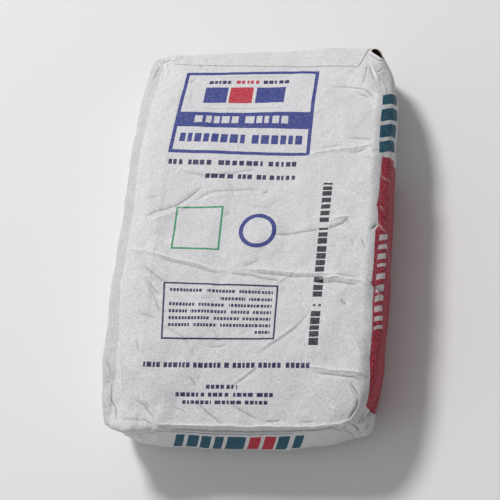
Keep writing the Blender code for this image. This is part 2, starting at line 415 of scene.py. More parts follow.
        (-1.0, 2.0, 160.5, -253, 77, 154, -266, 73, 148, -274, 71),
        (1.0, 2.0, 162, -253, 72, 156, -266, 68, 150, -273, 66),
    ]),
    *folds(near, [
        (0.6, 2.0, 134, 6, 126, 14, 116, 22),
        (0.5, 2.0, 142, 12, 134, 22, 124, 30),
    ]),
    *folds(spot, [
        # near left corner: the front rolls down on to the end
        (0.8, 8.0, -142.3, -283.6, 61, -122, -284, 72, -100.2, -283.3, 83.8, -95.1, -283.1, 84.7, -80, -284,
         81),
        (-1.8, 4.0, -150, -279, 50, -140, -283, 52, -122, -284, 62, -104, -283.5, 74, -94, -283, 79),
    ]),
    *folds(near, [
        # near end
        (-0.9, 2.6, 136, 2, 132, 8, 124, 14),
        (0.8, 2.4, 142, 4, 136, 12, 128, 18),
        (-0.9, 2.6, 150, 26, 144, 32, 136, 36),
        (1.2, 2.8, 154, 22, 150, 28, 140, 34),
        (-0.6, 5.0, -120, 40, -60, 46, 10, 43, 70, 47, 120, 42),
        (-0.6, 4.0, -140, 14, -126, 24, -112, 30),
        (0.7, 4.0, -150, 20, -134, 32, -118, 40),
    ]),
    *folds(far, [
        # far end
        (-0.6, 5.0, -120, 34, -50, 40, 20, 36, 90, 41),
        (0.6, 4.0, -140, 12, -120, 26, -100, 34),
        (-0.6, 4.0, 60, 8, 76, 26, 84, 44),
    ]),
]

# Steps, where the paper on the right of the route lies higher: rise, reach of the slope, and route
STEPS = folds(front, [
    (0.8, 3.0, 102, -103, 108, -108, 120, -116, 130, -125, 137, -135, 143, -150, 150, -165, 153, -182,
     155, -196),
    (0.9, 3.0, 139, 258, 139, 250, 139, 225, 138, 195),
    (3.6, 6.5, 147, 256, 148, 240, 152, 215, 160, 190),
])


def laid_routes(skin, folded):
    """The folds with their routes laid on the skin in short, slightly uneven stretches."""
    tree = BVHTree.FromObject(skin, bpy.context.evaluated_depsgraph_get())
    noise.seed_set(WANDER_SEED)
    laid = []
    for number, (rise, reach, way) in enumerate(folded):
        places = []
        for a, b in zip(way[:-1], way[1:]):
            count = max(1, round((b - a).length / ROUTE_STEP))
            places += [a.lerp(b, i / count) for i in range(count)]
        seed = Vector((number * 0.37, 0, 0))
        places = [p + ROUTE_WANDER * noise.noise_vector(p / WANDER_SIZE + seed) for p in places + way[-1:]]
        laid.append((rise, reach, np.array([tree.find_nearest(p)[0][:] for p in places])))
    return laid


def crease_profile(points, normals, way, reach):
    """The points near a route, their signed distance from it and place along it, and its length."""
    low, high = way.min(axis=0) - reach, way.max(axis=0) + reach
    near_by = np.nonzero(np.all((points > low) & (points < high), axis=1))[0]
    spots, facing = points[near_by], normals[near_by]
    nearest = np.full(len(near_by), np.inf)
    signed = np.zeros(len(near_by))
    place = np.zeros(len(near_by))
    start = 0.0
    for a, b in zip(way[:-1], way[1:]):
        length = np.linalg.norm(b - a)
        if length < 1e-6:
            continue
        along = (b - a) / length
        t = np.clip((spots - a) @ along, 0, length)
        off = spots - a - t[:, None] * along
        distance = np.linalg.norm(off, axis=1)
        side = np.sign((off * np.cross(along, facing)).sum(axis=1))
        closer = distance < nearest
        nearest = np.where(closer, distance, nearest)
        signed = np.where(closer, distance * side, signed)
        place = np.where(closer, start + t, place)
        start += length
    return near_by, signed, place, start


def smooth(value, low, high):
    t = np.clip((value - low) / (high - low), 0, 1)
    return t * t * (3 - 2 * t)


def perlin(points, size, seed):
    """Smooth noise between about -0.7 and 0.7, with features of the given size."""
    shift = np.array([seed * 3.17, seed * 1.31, seed * 7.73])
    return np.array([noise.noise(p) for p in (points / size + shift).tolist()])


def perlin_ways(points, size, seeds):
    """Smooth noise in three directions."""
    return np.stack([perlin(points, size, seed) for seed in seeds], axis=1)


def bumps(points, height, size, seed):
    return height * perlin(points, size, seed)


def facets(points, height, size, seed):
    """Noise made of flat facets with sharp folds between them, as crumpled paper has."""
    rng = np.random.default_rng(seed)
    turn = np.array(Matrix.Rotation(0.7 + seed, 3, Vector((0.5, 0.3, 0.8)).normalized()))
    heights = rng.random((32, 32, 32))
    spots = points @ turn.T / size + 100
    cell = np.floor(spots)
    inside = spots - cell
    order = np.argsort(-inside, axis=1)
    part = np.take_along_axis(inside, order, axis=1)
    shares = [1 - part[:, 0], part[:, 0] - part[:, 1], part[:, 1] - part[:, 2], part[:, 2]]
    corner = cell.astype(int)
    total = 0
    for i, share in enumerate(shares):
        if i:
            corner[np.arange(len(points)), order[:, i - 1]] += 1
        total = total + share * heights[tuple((corner % 32).T)]
    return height * (total - 0.5)


def edge_distance(cube):
    """How far a point lies from the nearest folded edge of the bag."""
    return np.sort((1 - np.abs(cube)) * HALF_SIZES, axis=1)[:, 1]


def creased(points, normals, creases, steps):
    """How far the laid folds push the paper out, and how strong the painted highlight along their ridges and
    the painted shade along their valleys are.
    """
    out, ridge_highlight_and_wear, valley_shade = np.zeros((3, len(points)))
    for rise, reach, way in creases:
        rise, reach = rise * CREASE_RISE, reach * CREASE_REACH
        where, signed, place, length = crease_profile(points, normals, way, 5 * reach * MM)
        off = np.abs(signed)
        depth = (1 - SHARP_SHARE) * np.exp(-off / (reach * MM)) + SHARP_SHARE * np.exp(-off / CREASE_SHARP)
        fade = min(END_FADE, 0.35 * length)
        depth = depth * smooth(place, -0.2 * fade, fade) * smooth(length - place, -0.2 * fade, fade)
        out[where] += rise * MM * depth
        # A narrow painted highlight along each ridge's crest and painted shade along each valley, fading at
        # the ends
        sharp = np.exp(-(signed / SHADE_REACH) ** 2)
        sharp = sharp * smooth(place, 0, fade) * smooth(length - place, 0, fade)
        painted_light = ridge_highlight_and_wear if rise > 0 else valley_shade
        painted_light[where] = np.maximum(painted_light[where], sharp * min(0.6 * abs(rise), 1.0))
    for rise, reach, way in steps:
        where, signed, place, length = crease_profile(points, normals, way, STEP_FADE)
        fall = np.tanh(signed / (reach * MM)) * (1 - smooth(np.abs(signed), 0.3 * STEP_FADE, STEP_FADE))
        fall = fall * smooth(place, 0, STEP_END_FADE) * smooth(length - place, 0, STEP_END_FADE)
        out[where] += rise * MM * fall / 2
    return out, ridge_highlight_and_wear, valley_shade


def crumple(points, cube):
    """Bumps and facets of the paper, stronger at the edges, the far left corner and the left rim."""
    rim = 1 - smooth(edge_distance(cube), 0.002, 0.022)
    left_rim = smooth(-points[:, 0], 0.145, 0.165)
    out = sum(bumps(points, *row) for row in BUMPS)
    warped = points + 0.010 * perlin_ways(points, 0.05, (21, 22, 23))
    crumpled = smooth(perlin(points, 0.10, 12), -0.15, 0.35)
    out += facets(warped, *LARGE_FACETS) * (0.45 + 0.55 * crumpled)
    out += facets(warped, *SMALL_FACETS) * (0.15 + 0.35 * crumpled + 0.5 * rim)
    corner = np.linalg.norm(points - FAR_LEFT_CORNER, axis=1)
    out += facets(warped, *CORNER_FACETS) * (1 - smooth(corner, 0.012, 0.040))
    out += facets(points * (1, 0.6, 1), *RIM_FACETS) * (0.8 * left_rim + 0.25 * rim)
    return out + bumps(points * (1, 0.14, 1), *STREAKS) * smooth(-points[:, 0], 0.150, 0.162)


def displacement(points, normals, cube, creases, steps):
    """How far the paper lies out of its plain form, and the strength of the painted highlight on its ridges
    and the painted shade in its valleys there.
    """
    out, ridge_highlight_and_wear, valley_shade = creased(points, normals, creases, steps)
    out += crumple(points, cube)
    drop = (1 - cube[:, 2]) / 2 * THICKNESS
    right_side = smooth(normals[:, 0], 0.3, 0.9) * (1 - smooth(np.abs(cube[:, 1]), 0.80, 0.97))
    out += SIDE_SWELL * np.exp(-((drop - 0.024) / 0.016) ** 2) * right_side
    lap = smooth(points[:, 0], SEAM[0] - 0.0008, SEAM[0] + 0.0004)
    lap = lap * (1 - smooth(points[:, 0], SEAM[1] - 0.0006, SEAM[1] + 0.0008))
    out += SEAM_STEP * lap * (normals[:, 2] > 0.5)
    return np.maximum(out + STAND_OFF, -DEEPEST), ridge_highlight_and_wear, valley_shade


# Meshes

def grid_lines(count):
    t = np.linspace(-1, 1, count)
    return t + CLOSER * np.sin(math.pi * t) / math.pi


def cube_side(axis, sign, lines):
    """Grid of one side of the cube, and its faces, which look outwards."""
    a, b = (axis + 1) % 3, (axis + 2) % 3
    first, second = np.meshgrid(lines[a], lines[b], indexing="ij")
    points = np.empty((first.size, 3))
    points[:, a] = first.ravel()
    points[:, b] = second.ravel()
    points[:, axis] = sign
    count = len(lines[b])
    i, j = np.meshgrid(np.arange(len(lines[a]) - 1), np.arange(count - 1), indexing="ij")
    corner = (i * count + j).ravel()
    quads = np.stack([corner, corner + count, corner + count + 1, corner + 1], axis=1)
    return points, quads if sign > 0 else quads[:, ::-1]


def cube_underside(lines):
    """Coarse mesh of the cube's underside that shares the grid lines at its rim."""
    u, v = lines[0], lines[1]
    rim = [(x, -1.0) for x in u[:-1]] + [(1.0, y) for y in v[:-1]]
    rim += [(x, 1.0) for x in u[:0:-1]] + [(-1.0, y) for y in v[:0:-1]]
    scale = HALF_SIZES[:2]
    inner = [(x, y)
             for x in np.linspace(-0.94, 0.94, round(2 * HALF_WIDTH / UNDERSIDE_STEP))
             for y in np.linspace(-0.96, 0.96, round(2 * HALF_LENGTH / UNDERSIDE_STEP))]
    flat = [Vector(np.array(p) * scale) for p in rim + inner]
    loop = list(range(len(rim)))
    verts, _, faces, _, _, _ = delaunay_2d_cdt(flat, list(zip(loop, loop[1:] + loop[:1])), [], 1, 1e-7)
    points = np.array([(p.x / scale[0], p.y / scale[1], -1.0) for p in verts])
    return points, np.array([face[::-1] for face in faces])


def paper_map(kind, cube, points):
    """Place on the printed sheet, in metres: the front is as it lies, and the sides fold off it."""
    x, y = points[:, 0], points[:, 1]
    drop = (1 - cube[:, 2]) / 2 * top_height(x, y)
    places = {"top": (x, y), "right": (1 + drop, y), "left": (-1 - drop, y),
              "near": (x, -1 - drop), "far": (x, 1 + drop), "under": (x, y + 3)}
    return np.stack(places[kind], axis=1)


# The print follows the stretched paper: tilt of its rows and sideways shift of its left edge, by y
ROW_TILT = ((-0.207, 0), (-0.173, 0), (-0.100, -0.041), (-0.051, -0.030), (0.015, 0), (0.061, -0.050),
            (0.078, -0.047), (0.093, -0.058), (0.137, -0.068), (0.165, -0.047), (0.242, -0.027))
LEFT_SHIFT = ((-0.174, 0.0025), (-0.097, -0.0025), (-0.050, -0.0005), (0.015, 0), (0.099, -0.0025),
              (0.242, 0.0025))


def by_place(value, table):
    """Value through straight stretches between the table's pairs."""
    return np.interp(value, *np.array(table).T)


def stretched(place):
    """Moves places on the front on to the flat sheet that was printed."""
    x, y = place.T
    print_x = x - by_place(y, LEFT_SHIFT) * np.clip(-x / 0.1, 0, 1.3)
    print_y = y - by_place(y, ROW_TILT) * x * (1 - smooth(x, 0.115, 0.150))
    return np.stack([print_x, print_y], axis=1)


def relax(points, quads, weight, steps):
    """Moves points towards the middle of their neighbours, by weight."""
    edges = np.concatenate([quads[:, [k, (k + 1) % 4]] for k in range(4)])
    count = np.maximum(np.bincount(edges[:, 0], minlength=len(points)), 1)
    for _ in range(steps):
        middle = np.stack([np.bincount(edges[:, 0], points[edges[:, 1], k], len(points)) / count
                           for k in range(3)], axis=1)
        points = points + weight[:, None] * (middle - points)
    return points


def ledge(points, cube):
    """Where the front's paper stands out over the near end, at its left."""
    out = by_place(points[:, 0], LEDGE_OUT)
    out = out * smooth(-points[:, 1], 0.258, 0.280) * (1 - smooth(1 - cube[:, 2], 0.08, 0.26))
    return np.stack([np.zeros(len(out)), -out, LEDGE_RISE * out], axis=1)


def add_mesh(name, points, faces, maps=None, values=None):
    """An object from points and faces, with its paper map and its point values."""
    mesh = bpy.data.meshes.new(name)
    mesh.from_pydata(points.tolist(), [], [list(map(int, f)) for f in faces])
    if maps is not None:
        mesh.uv_layers.new(name="paper").data.foreach_set("uv", np.asarray(maps, float).ravel())
    for key, value in (values or {}).items():
        mesh.attributes.new(key, "FLOAT", "POINT").data.foreach_set("value", np.asarray(value, float))
    mesh.shade_smooth()
    made = bpy.data.objects.new(name, mesh)
    bpy.context.scene.collection.objects.link(made)
    return made


def read(data, key):
    """Threes of numbers from a mesh's data."""
    flat = np.empty(3 * len(data))
    data.foreach_get(key, flat)
    return flat.reshape(-1, 3)


def joined_sides(sides, lines):
    """Sides of the cube in one mesh, five of them closed with a coarse underside.

    Returns its points, each side's faces in it, and each side's own grid.
    """
    grids = [cube_side(axis, sign, lines) for _, axis, sign in sides]
    if len(sides) < 6:
        grids.append(cube_underside(lines))
    starts = np.cumsum([0] + [len(points) for points, _ in grids])
    cube, joined = np.unique(np.round(np.concatenate([g[0] for g in grids]), 7), axis=0, return_inverse=True)
    faces = [joined.ravel()[quads + start] for (_, quads), start in zip(grids, starts)]
    return cube, faces, grids


def build_skin():
    """The bag's paper: one closed skin, creased."""
    lines = [grid_lines(LINES_ACROSS), grid_lines(LINES_ALONG), LINES_UP]
    sides = (("top", 2, 1), ("right", 0, 1), ("left", 0, -1), ("near", 1, -1), ("far", 1, 1))
    cube, faces, grids = joined_sides(sides, lines)
    maps = []
    for kind, (points, corners) in zip([side[0] for side in sides] + ["under"], grids):
        place = paper_map(kind, points, form(points))
        maps.append((stretched(place) if kind == "top" else place)[corners.ravel()])
    quads = np.concatenate(faces[:-1])
    points = form(cube)
    soft = 1 - smooth(edge_distance(cube), 0.3 * ROUND_REACH, ROUND_REACH)
    points = relax(points, quads, EDGE_PULL * soft * (cube[:, 2] > -1), ROUND_STEPS)
    to_edge = np.maximum((1 - cube[:, 0]) * HALF_SIZES[0], (1 - cube[:, 2]) * HALF_SIZES[2])
    shoulder = 1 - smooth(to_edge, 0.3 * SHOULDER_REACH, SHOULDER_REACH)
    shoulder = shoulder * (1 - smooth(np.abs(cube[:, 1]), 0.75, 0.95))
    points = relax(points, quads, EDGE_PULL * shoulder, SHOULDER_STEPS)
    points += ledge(points, cube)
    skin = add_mesh("sack_paper", points, list(quads) + list(faces[-1]), np.concatenate(maps))
    mesh = skin.data
    mesh.attributes.new("cube", "FLOAT_VECTOR", "POINT").data.foreach_set("vector", cube.ravel())
    creases, steps = laid_routes(skin, CREASES), laid_routes(skin, STEPS)
    for within in SPLIT_WITHIN:
        split_near_creases(mesh, within, creases)
    points, normals = read(mesh.vertices, "co"), read(mesh.vertex_normals, "vector")
    cube = read(mesh.attributes["cube"].data, "vector")
    out, ridge_highlight_and_wear, valley_shade = displacement(points, normals, cube, creases, steps)
    points = points + normals * (out * (cube[:, 2] > -1))[:, None]
    points[:, 2] = np.maximum(points[:, 2], 0)
    mesh.vertices.foreach_set("co", points.ravel())
    # Point values for the shader: painted highlight on ridges, which also wears the ink there, and painted
    # shade in valleys
    for key, value in (("ridge_highlight_and_wear", ridge_highlight_and_wear), ("valley_shade", valley_shade)):
        mesh.attributes.new(key, "FLOAT", "POINT").data.foreach_set("value", value)
    mesh.attributes.remove(mesh.attributes["cube"])
    mesh.update()
    return skin


def split_near_creases(mesh, within, creases):
    """Splits the edges that lie nearer to a crease than the given distance."""
    points, normals = read(mesh.vertices, "co"), read(mesh.vertex_normals, "vector")
    close = np.zeros(len(points), bool)
    for _, _, way in creases:
        where, signed, _, _ = crease_profile(points, normals, way, within)
        close[where[np.abs(signed) < within]] = True
    close &= points[:, 2] > SPLIT_ABOVE
    split = bmesh.new()
    split.from_mesh(mesh)
    chosen = [e for e in split.edges if close[e.verts[0].index] and close[e.verts[1].index]]
    bmesh.ops.subdivide_edges(split, edges=chosen, cuts=1, use_grid_fill=True)
    split.to_mesh(mesh)
    split.free()


CEMENT_GAP = 0.0040
CEMENT_ROUND = 0.02


def build_cement():
    """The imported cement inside, kept clear of the paper and of the valve."""
    lines = [grid_lines(31), grid_lines(47), np.linspace(-1, 1, 9)]
    sides = [("side", axis, sign) for axis in range(3) for sign in (1, -1)]
    cube, faces, _ = joined_sides(sides, lines)
    quads = np.concatenate(faces)
    points = relax(form(cube), quads, np.where(edge_distance(cube) < CEMENT_ROUND, 0.7, 0.0), 4)
    middle = np.array([0, 0, THICKNESS / 2])
    core = add_mesh("cement_core", middle + (points - middle) * (1 - CEMENT_GAP / HALF_SIZES), quads)
    cut_valve(core, CEMENT_GAP)
    return core


# Covers: their glue and paper, their shares of the ends, and the far one's wrap over the front, whose
# edge is given in x and y
COVER_GLUE = 0.00025
COVER_THICKNESS = 0.00030
COVER_COLUMNS = 171
COVER_UP = 0.84
COVER_ACROSS = 0.89
COVER_CUT = 0.07
COVER_NARROW = 0.03
WRAP_LEFT = -0.139
WRAP_RIGHT = 0.125
WRAP_CORNER = 0.922
WRAP_EDGE = ((-0.139, 0.2620), (-0.100, 0.2570), (0.071, 0.2460), (0.125, 0.2405))


def corner_cut(w):
    """How much narrower a cover is near its upper or lower edge, where its corners are cut off."""
    return COVER_CUT * smooth(w, COVER_UP - 0.30, COVER_UP)


def near_cover_rows():
    """The near cover: a sheet on the end, with its corners cut off."""
    across = np.linspace(-1, 1, COVER_COLUMNS)
    return [[(u * (COVER_ACROSS - corner_cut(abs(w))), -1.0, w) for u in across]
            for w in np.linspace(-COVER_UP, COVER_UP, 36)]


def far_cover_rows():
    """The far cover: up the end, over the edge and a little way over the front."""
    rows = []
    for w in np.linspace(-COVER_UP, 1, 38):
        cut, upper = corner_cut(-w), smooth(w, 0.5, 1)
        left_end = cut + COVER_NARROW * upper - COVER_ACROSS
        right_end = COVER_ACROSS - cut + (WRAP_CORNER - COVER_ACROSS) * upper
        rows.append([(u, 1.0, w) for u in np.linspace(left_end, right_end, COVER_COLUMNS)])
    far_left, far_right = form([(COVER_NARROW - COVER_ACROSS, 1, 1), (WRAP_CORNER, 1, 1)])[:, 0]
    top = np.ones(COVER_COLUMNS)
    for back in np.linspace(0, 1, 20)[1:]:
        left_end = far_left + (WRAP_LEFT - far_left) * back
        right_end = far_right + (WRAP_RIGHT - far_right) * back
        x = np.linspace(left_end, right_end, COVER_COLUMNS)
        end_y = form(np.stack([x / np.where(x > 0, RIGHT_EDGE, LEFT_EDGE), top, top], axis=1))[:, 1]
        rows.append(list(zip(*cube_for(x, end_y + (by_place(x, WRAP_EDGE) - end_y) * back, top), top)))
    return rows


def build_cover(name, end, rows, skin_tree):
    """A glued cover sheet laid on the skin, from its rows of points on the cube."""
    shape = (len(rows), COVER_COLUMNS)
    cube = np.array(rows).reshape(-1, 3)
    points = form(cube)
    grid = points.reshape(*shape, 3)
    normals = np.cross(np.gradient(grid, axis=1), np.gradient(grid, axis=0)).reshape(-1, 3)
    normals /= np.linalg.norm(normals, axis=1, keepdims=True)
    if (normals.mean(axis=0)[1] > 0) != (end > 0):
        normals = -normals
    laid = []
    for point, normal in zip(points, normals):
        away = Vector(normal)
        hit, _, _, _ = skin_tree.ray_cast(Vector(point) + away * 0.012, -away, 0.03)
        laid.append((hit if hit else Vector(point) + away * STAND_OFF)[:])
    inner = np.array(laid) + normals * COVER_GLUE
    outer = inner + normals * COVER_THICKNESS
    count = len(laid)
    index = np.arange(count).reshape(shape)
    quads = np.stack([index[:-1, :-1], index[1:, :-1], index[1:, 1:], index[:-1, 1:]], axis=-1).reshape(-1, 4)
    rim = np.concatenate([index[0, :], index[1:, -1], index[-1, -2::-1], index[-2:0:-1, 0]])
    if np.cross(grid[1, 0] - grid[0, 0], grid[0, 1] - grid[0, 0]) @ normals[0] <= 0:
        quads = quads[:, ::-1]
        rim = rim[::-1]
    walls = [(a + count, b + count, b, a) for a, b in zip(rim, np.roll(rim, -1))]
    faces = [tuple(q + count) for q in quads] + [tuple(q[::-1]) for q in quads] + walls
    drop = (1 - cube[:, 2]) / 2 * top_height(points[:, 0], points[:, 1])
    past = np.maximum(END_EDGE - np.abs(points[:, 1]), 0)
    place = np.stack([points[:, 0], np.sign(end) * (1 + np.where(cube[:, 2] < 0.9999, drop, -past))], axis=1)
    both = np.concatenate([place, place])
    maps = np.concatenate([both[list(face)] for face in faces])
    return add_mesh(name, np.concatenate([inner, outer]), faces, maps)


# Valve: outline of the mouth on the front, in millimetres, clockwise from the left end of its lip, and
# the pocket below it, which narrows and leans inwards. Its sleeve stands out of the skin at the outer
# side, and ends a little below it at the inner one.
MOUTH = ((139.6, 273.4), (141.2, 279.4), (147.4, 280.4), (153.6, 273.0), (158.2, 262.4), (157.4, 257.2),
         (149.0, 264.2))
VALVE_TOP = 0.0830
VALVE_FOOT = 0.0300
VALVE_RINGS = 20
VALVE_PAPER = 0.0006
VALVE_SHRINK = 0.35
VALVE_LEAN = (-0.0040, -0.0040)
VALVE_STANDS = 0.0030
VALVE_SINKS = 0.0012

# Lip: its way along the mouth, in millimetres, its section, and its height where the skin ends or
# lies lower than the last number
LIP_WAY = ((138.0, 274.6), (141.0, 271.2), (147.5, 264.6), (153.0, 259.6), (158.6, 254.8))
LIP_STEPS = 33
LIP_WIDTH = 0.0056
LIP_THICKNESS = 0.0021
LIP_ROUND = 28
LIP_Z = 0.0760
LIP_LOWEST = 0.06


def rounded(outline, rounds=3):
    """A closed outline with its corners cut again and again."""
    for _ in range(rounds):
        after = np.roll(outline, -1, axis=0)
        cut = [0.75 * outline + 0.25 * after, 0.25 * outline + 0.75 * after]
        outline = np.stack(cut, axis=1).reshape(-1, 2)
    return outline


def valve_ring(z, grow):
    """Points round the flattened mouth of the valve at one height."""
    flat = rounded(np.array(MOUTH) * MM)
    depth = max(VALVE_TOP - z, 0) / (VALVE_TOP - VALVE_FOOT)
    middle = flat.mean(axis=0)
    flat = middle + (flat - middle) * (1 - VALVE_SHRINK * depth) + np.array(VALVE_LEAN) * depth
    along = np.roll(flat, -1, axis=0) - np.roll(flat, 1, axis=0)
    outwards = np.stack([-along[:, 1], along[:, 0]], axis=1) / np.linalg.norm(along, axis=1, keepdims=True)
    return [(x, y, z) for x, y in (flat + outwards * grow)[::-1]]


def tube(rings, closed):
    """Points and faces of a tube through rings of points."""
    count = len(rings[0])
    points = np.array([p for ring in rings for p in ring])
    faces = []
    for start in range(0, len(points) - count, count):
        for k in range(count):
            a, b = start + k, start + (k + 1) % count
            faces.append((a, b, b + count, a + count))
    if closed:
        faces.append(tuple(range(count - 1, -1, -1)))
        faces.append(tuple(range(len(points) - count, len(points))))
    return points, faces


def cut_valve(piece, room=0.0):
    """Opens the pocket of the valve in the skin, or in what lies round it with room to spare."""
    heights = np.linspace(VALVE_FOOT - 0.002 - room, VALVE_TOP + 0.03, 12)
    cutter = add_mesh("valve_cutter", *tube([valve_ring(z, VALVE_PAPER + room) for z in heights], True))
    opening = piece.modifiers.new("valve", "BOOLEAN")
    opening.operation = "DIFFERENCE"
    opening.solver = "EXACT"
    opening.object = cutter
    mesh = bpy.data.meshes.new_from_object(piece.evaluated_get(bpy.context.evaluated_depsgraph_get()))
    piece.modifiers.clear()
    piece.data = mesh
    bpy.data.objects.remove(cutter, do_unlink=True)


def height_on(skin_tree, x, y, otherwise, lowest=0.0):
    """Height of the skin at a place, or another height where the skin ends or lies too low."""
    hit, _, _, _ = skin_tree.ray_cast(Vector((x, y, 0.15)), Vector((0, 0, -1)))
    return hit.z if hit and hit.z > lowest else otherwise


def build_valve(skin_tree):
    """The kraft sleeve that lines the mouth, crumpled at its end."""
    rim = np.array(valve_ring(VALVE_TOP, 0))
    tops = np.array([height_on(skin_tree, x, y, VALVE_TOP - 0.008) for x, y, _ in rim])
    outside = smooth(rim[:, 0] + rim[:, 1], 0.4145, 0.4180)
    tops = tops + VALVE_STANDS * outside - VALVE_SINKS * (1 - outside)
    outer, inner = [], []
    for share in np.linspace(0, 1, VALVE_RINGS):
        heights = VALVE_FOOT + (tops - VALVE_FOOT) * share
        outer.append([valve_ring(z, 0)[k] for k, z in enumerate(heights)])
        inner.append([valve_ring(z, -VALVE_PAPER)[k] for k, z in enumerate(heights)])
    points, faces = tube(outer + inner[::-1], False)
    count = len(rim)
    last = len(points) - count
    faces += [(last + k, last + (k + 1) % count, (k + 1) % count, k) for k in range(count)]
    return add_mesh("valve_mouth", points + 0.0005 * perlin_ways(points, 0.008, (31, 32, 33)), faces)


def add_lip(skin, skin_tree):
    """The sack's own paper, rolled into a narrow hem along the mouth."""
    way = np.array(LIP_WAY) * MM
    steps = np.linspace(0, len(way) - 1, LIP_STEPS)
    line = np.stack([np.interp(steps, np.arange(len(way)), way[:, k]) for k in range(2)], axis=1)
    along = np.gradient(line, axis=0)
    side = np.stack([along[:, 1], -along[:, 0]], axis=1) / np.linalg.norm(along, axis=1, keepdims=True)
    angle = math.tau * np.arange(LIP_ROUND) / LIP_ROUND
    across = 0.5 + 0.5 * np.cos(angle)
    groove = np.exp(-((across - 0.48) / 0.09) ** 2) * (np.sin(angle) > 0)
    height = 0.30 + 0.70 * np.sign(np.sin(angle)) * np.abs(np.sin(angle)) ** 0.5 - 0.45 * groove
    rings = []
    for middle, out, share in zip(line, side, np.linspace(-1, 1, LIP_STEPS)):
        end = 1 - 0.7 * abs(share) ** 6
        flat = middle + np.outer(across, out) * LIP_WIDTH * end
        rings.append([(x, y, height_on(skin_tree, x, y, LIP_Z, LIP_LOWEST) + LIP_THICKNESS * rise * end)
                      for (x, y), rise in zip(flat, height)])
    points, faces = tube(rings, True)
    points = points + 0.0003 * perlin_ways(points, 0.005, (41, 42, 43))
    # Painted highlight along the hem's top, painted shade in its groove and a painted shadow line where it
    # meets the skin
    values = {"ridge_highlight_and_wear": np.tile(0.8 * (height > 0.8), len(rings)),
              "valley_shade": np.tile(np.maximum(groove, np.exp(-((1 - across) / 0.05) ** 2)), len(rings))}
    lip = add_mesh("valve_lip", points, faces, np.full((sum(len(f) for f in faces), 2), (0.13, 3.0)), values)
    joined = bmesh.new()
    joined.from_mesh(skin.data)
    joined.from_mesh(lip.data)
    joined.to_mesh(skin.data)
    joined.free()
    skin.data.shade_smooth()
    bpy.data.objects.remove(lip, do_unlink=True)


# Materials

def srgb(red, green, blue):
    """Linear colour of the shares of 255 that a colour picker shows."""
    linear = [((c / 255 + 0.055) / 1.055) ** 2.4 if c > 10 else c / 255 / 12.92 for c in (red, green, blue)]
    return (*linear, 1.0)


WHITE_PAPER = srgb(219, 218, 221)
SEAM_PAPER = srgb(225, 226, 224)
# Greyer paper left of the seam: partly its own lilac tone, partly painted shade where the front rolls away
LEFT_TONE_AND_SHADE = srgb(199, 199, 203)
PATCH_PAPER = srgb(219, 219, 219)
PRINT_BLUE = srgb(48, 60, 138)
PRINT_NAVY = srgb(34, 38, 84)
PRINT_RED = srgb(190, 36, 58)
PRINT_TEAL = srgb(20, 84, 108)
PRINT_GREEN = srgb(40, 150, 100)
PRINT_GREY = srgb(150, 150, 156)
PRINT_BLACK = srgb(40, 41, 52)
PRINT_PALE = srgb(226, 220, 220)
CRIMSON_DARK, CRIMSON_LIGHT = srgb(132, 16, 38), srgb(205, 70, 90)
# The deepest kraft colour is painted shade for the inside of the mouth
KRAFT_DARK, KRAFT_LIGHT, KRAFT_PAINTED_SHADE = srgb(128, 92, 60), srgb(196, 158, 118), srgb(38, 26, 20)
CEMENT_DARK, CEMENT_LIGHT = srgb(190, 188, 182), srgb(216, 214, 208)
FLOOR = srgb(232, 232, 231)

# Softness of the print's edges, how far from the middle a row of bars can reach, how many bars one
# ramp holds, and the uneven widths of the blocks
EDGE_SOFT = 0.00035
ROW_REACH = 0.2
RAMP_BARS = 14
BAR_WIDTHS = (1.0, 0.82, 1.08, 0.9, 0.62, 1.1, 0.96)


def operator(operation, flipped=False):
    """What one of Python's operators does with a value of a material."""
    def work(self, other):
        return self.look.math(operation, *((other, self) if flipped else (self, other)))
    return work


class Value:
    """A number or a colour inside a material; Python's operators make its math nodes."""

    __add__ = __radd__ = operator("ADD")
    __sub__ = operator("SUBTRACT")
    __rsub__ = operator("SUBTRACT", flipped=True)
    __mul__ = __rmul__ = operator("MULTIPLY")
    __truediv__ = operator("DIVIDE")
    __pow__ = operator("POWER")
    __or__ = operator("MAXIMUM")
    __gt__ = operator("GREATER_THAN")
    __lt__ = operator("LESS_THAN")

    def __init__(self, look, socket):
        self.look = look
        self.socket = socket

    def held(self):
        """The same value, held between 0 and 1."""
        self.socket.node.use_clamp = True
        return self

    def soft(self):
        """1 where the value is above 0, with a soft edge."""
        return (self / EDGE_SOFT).held()


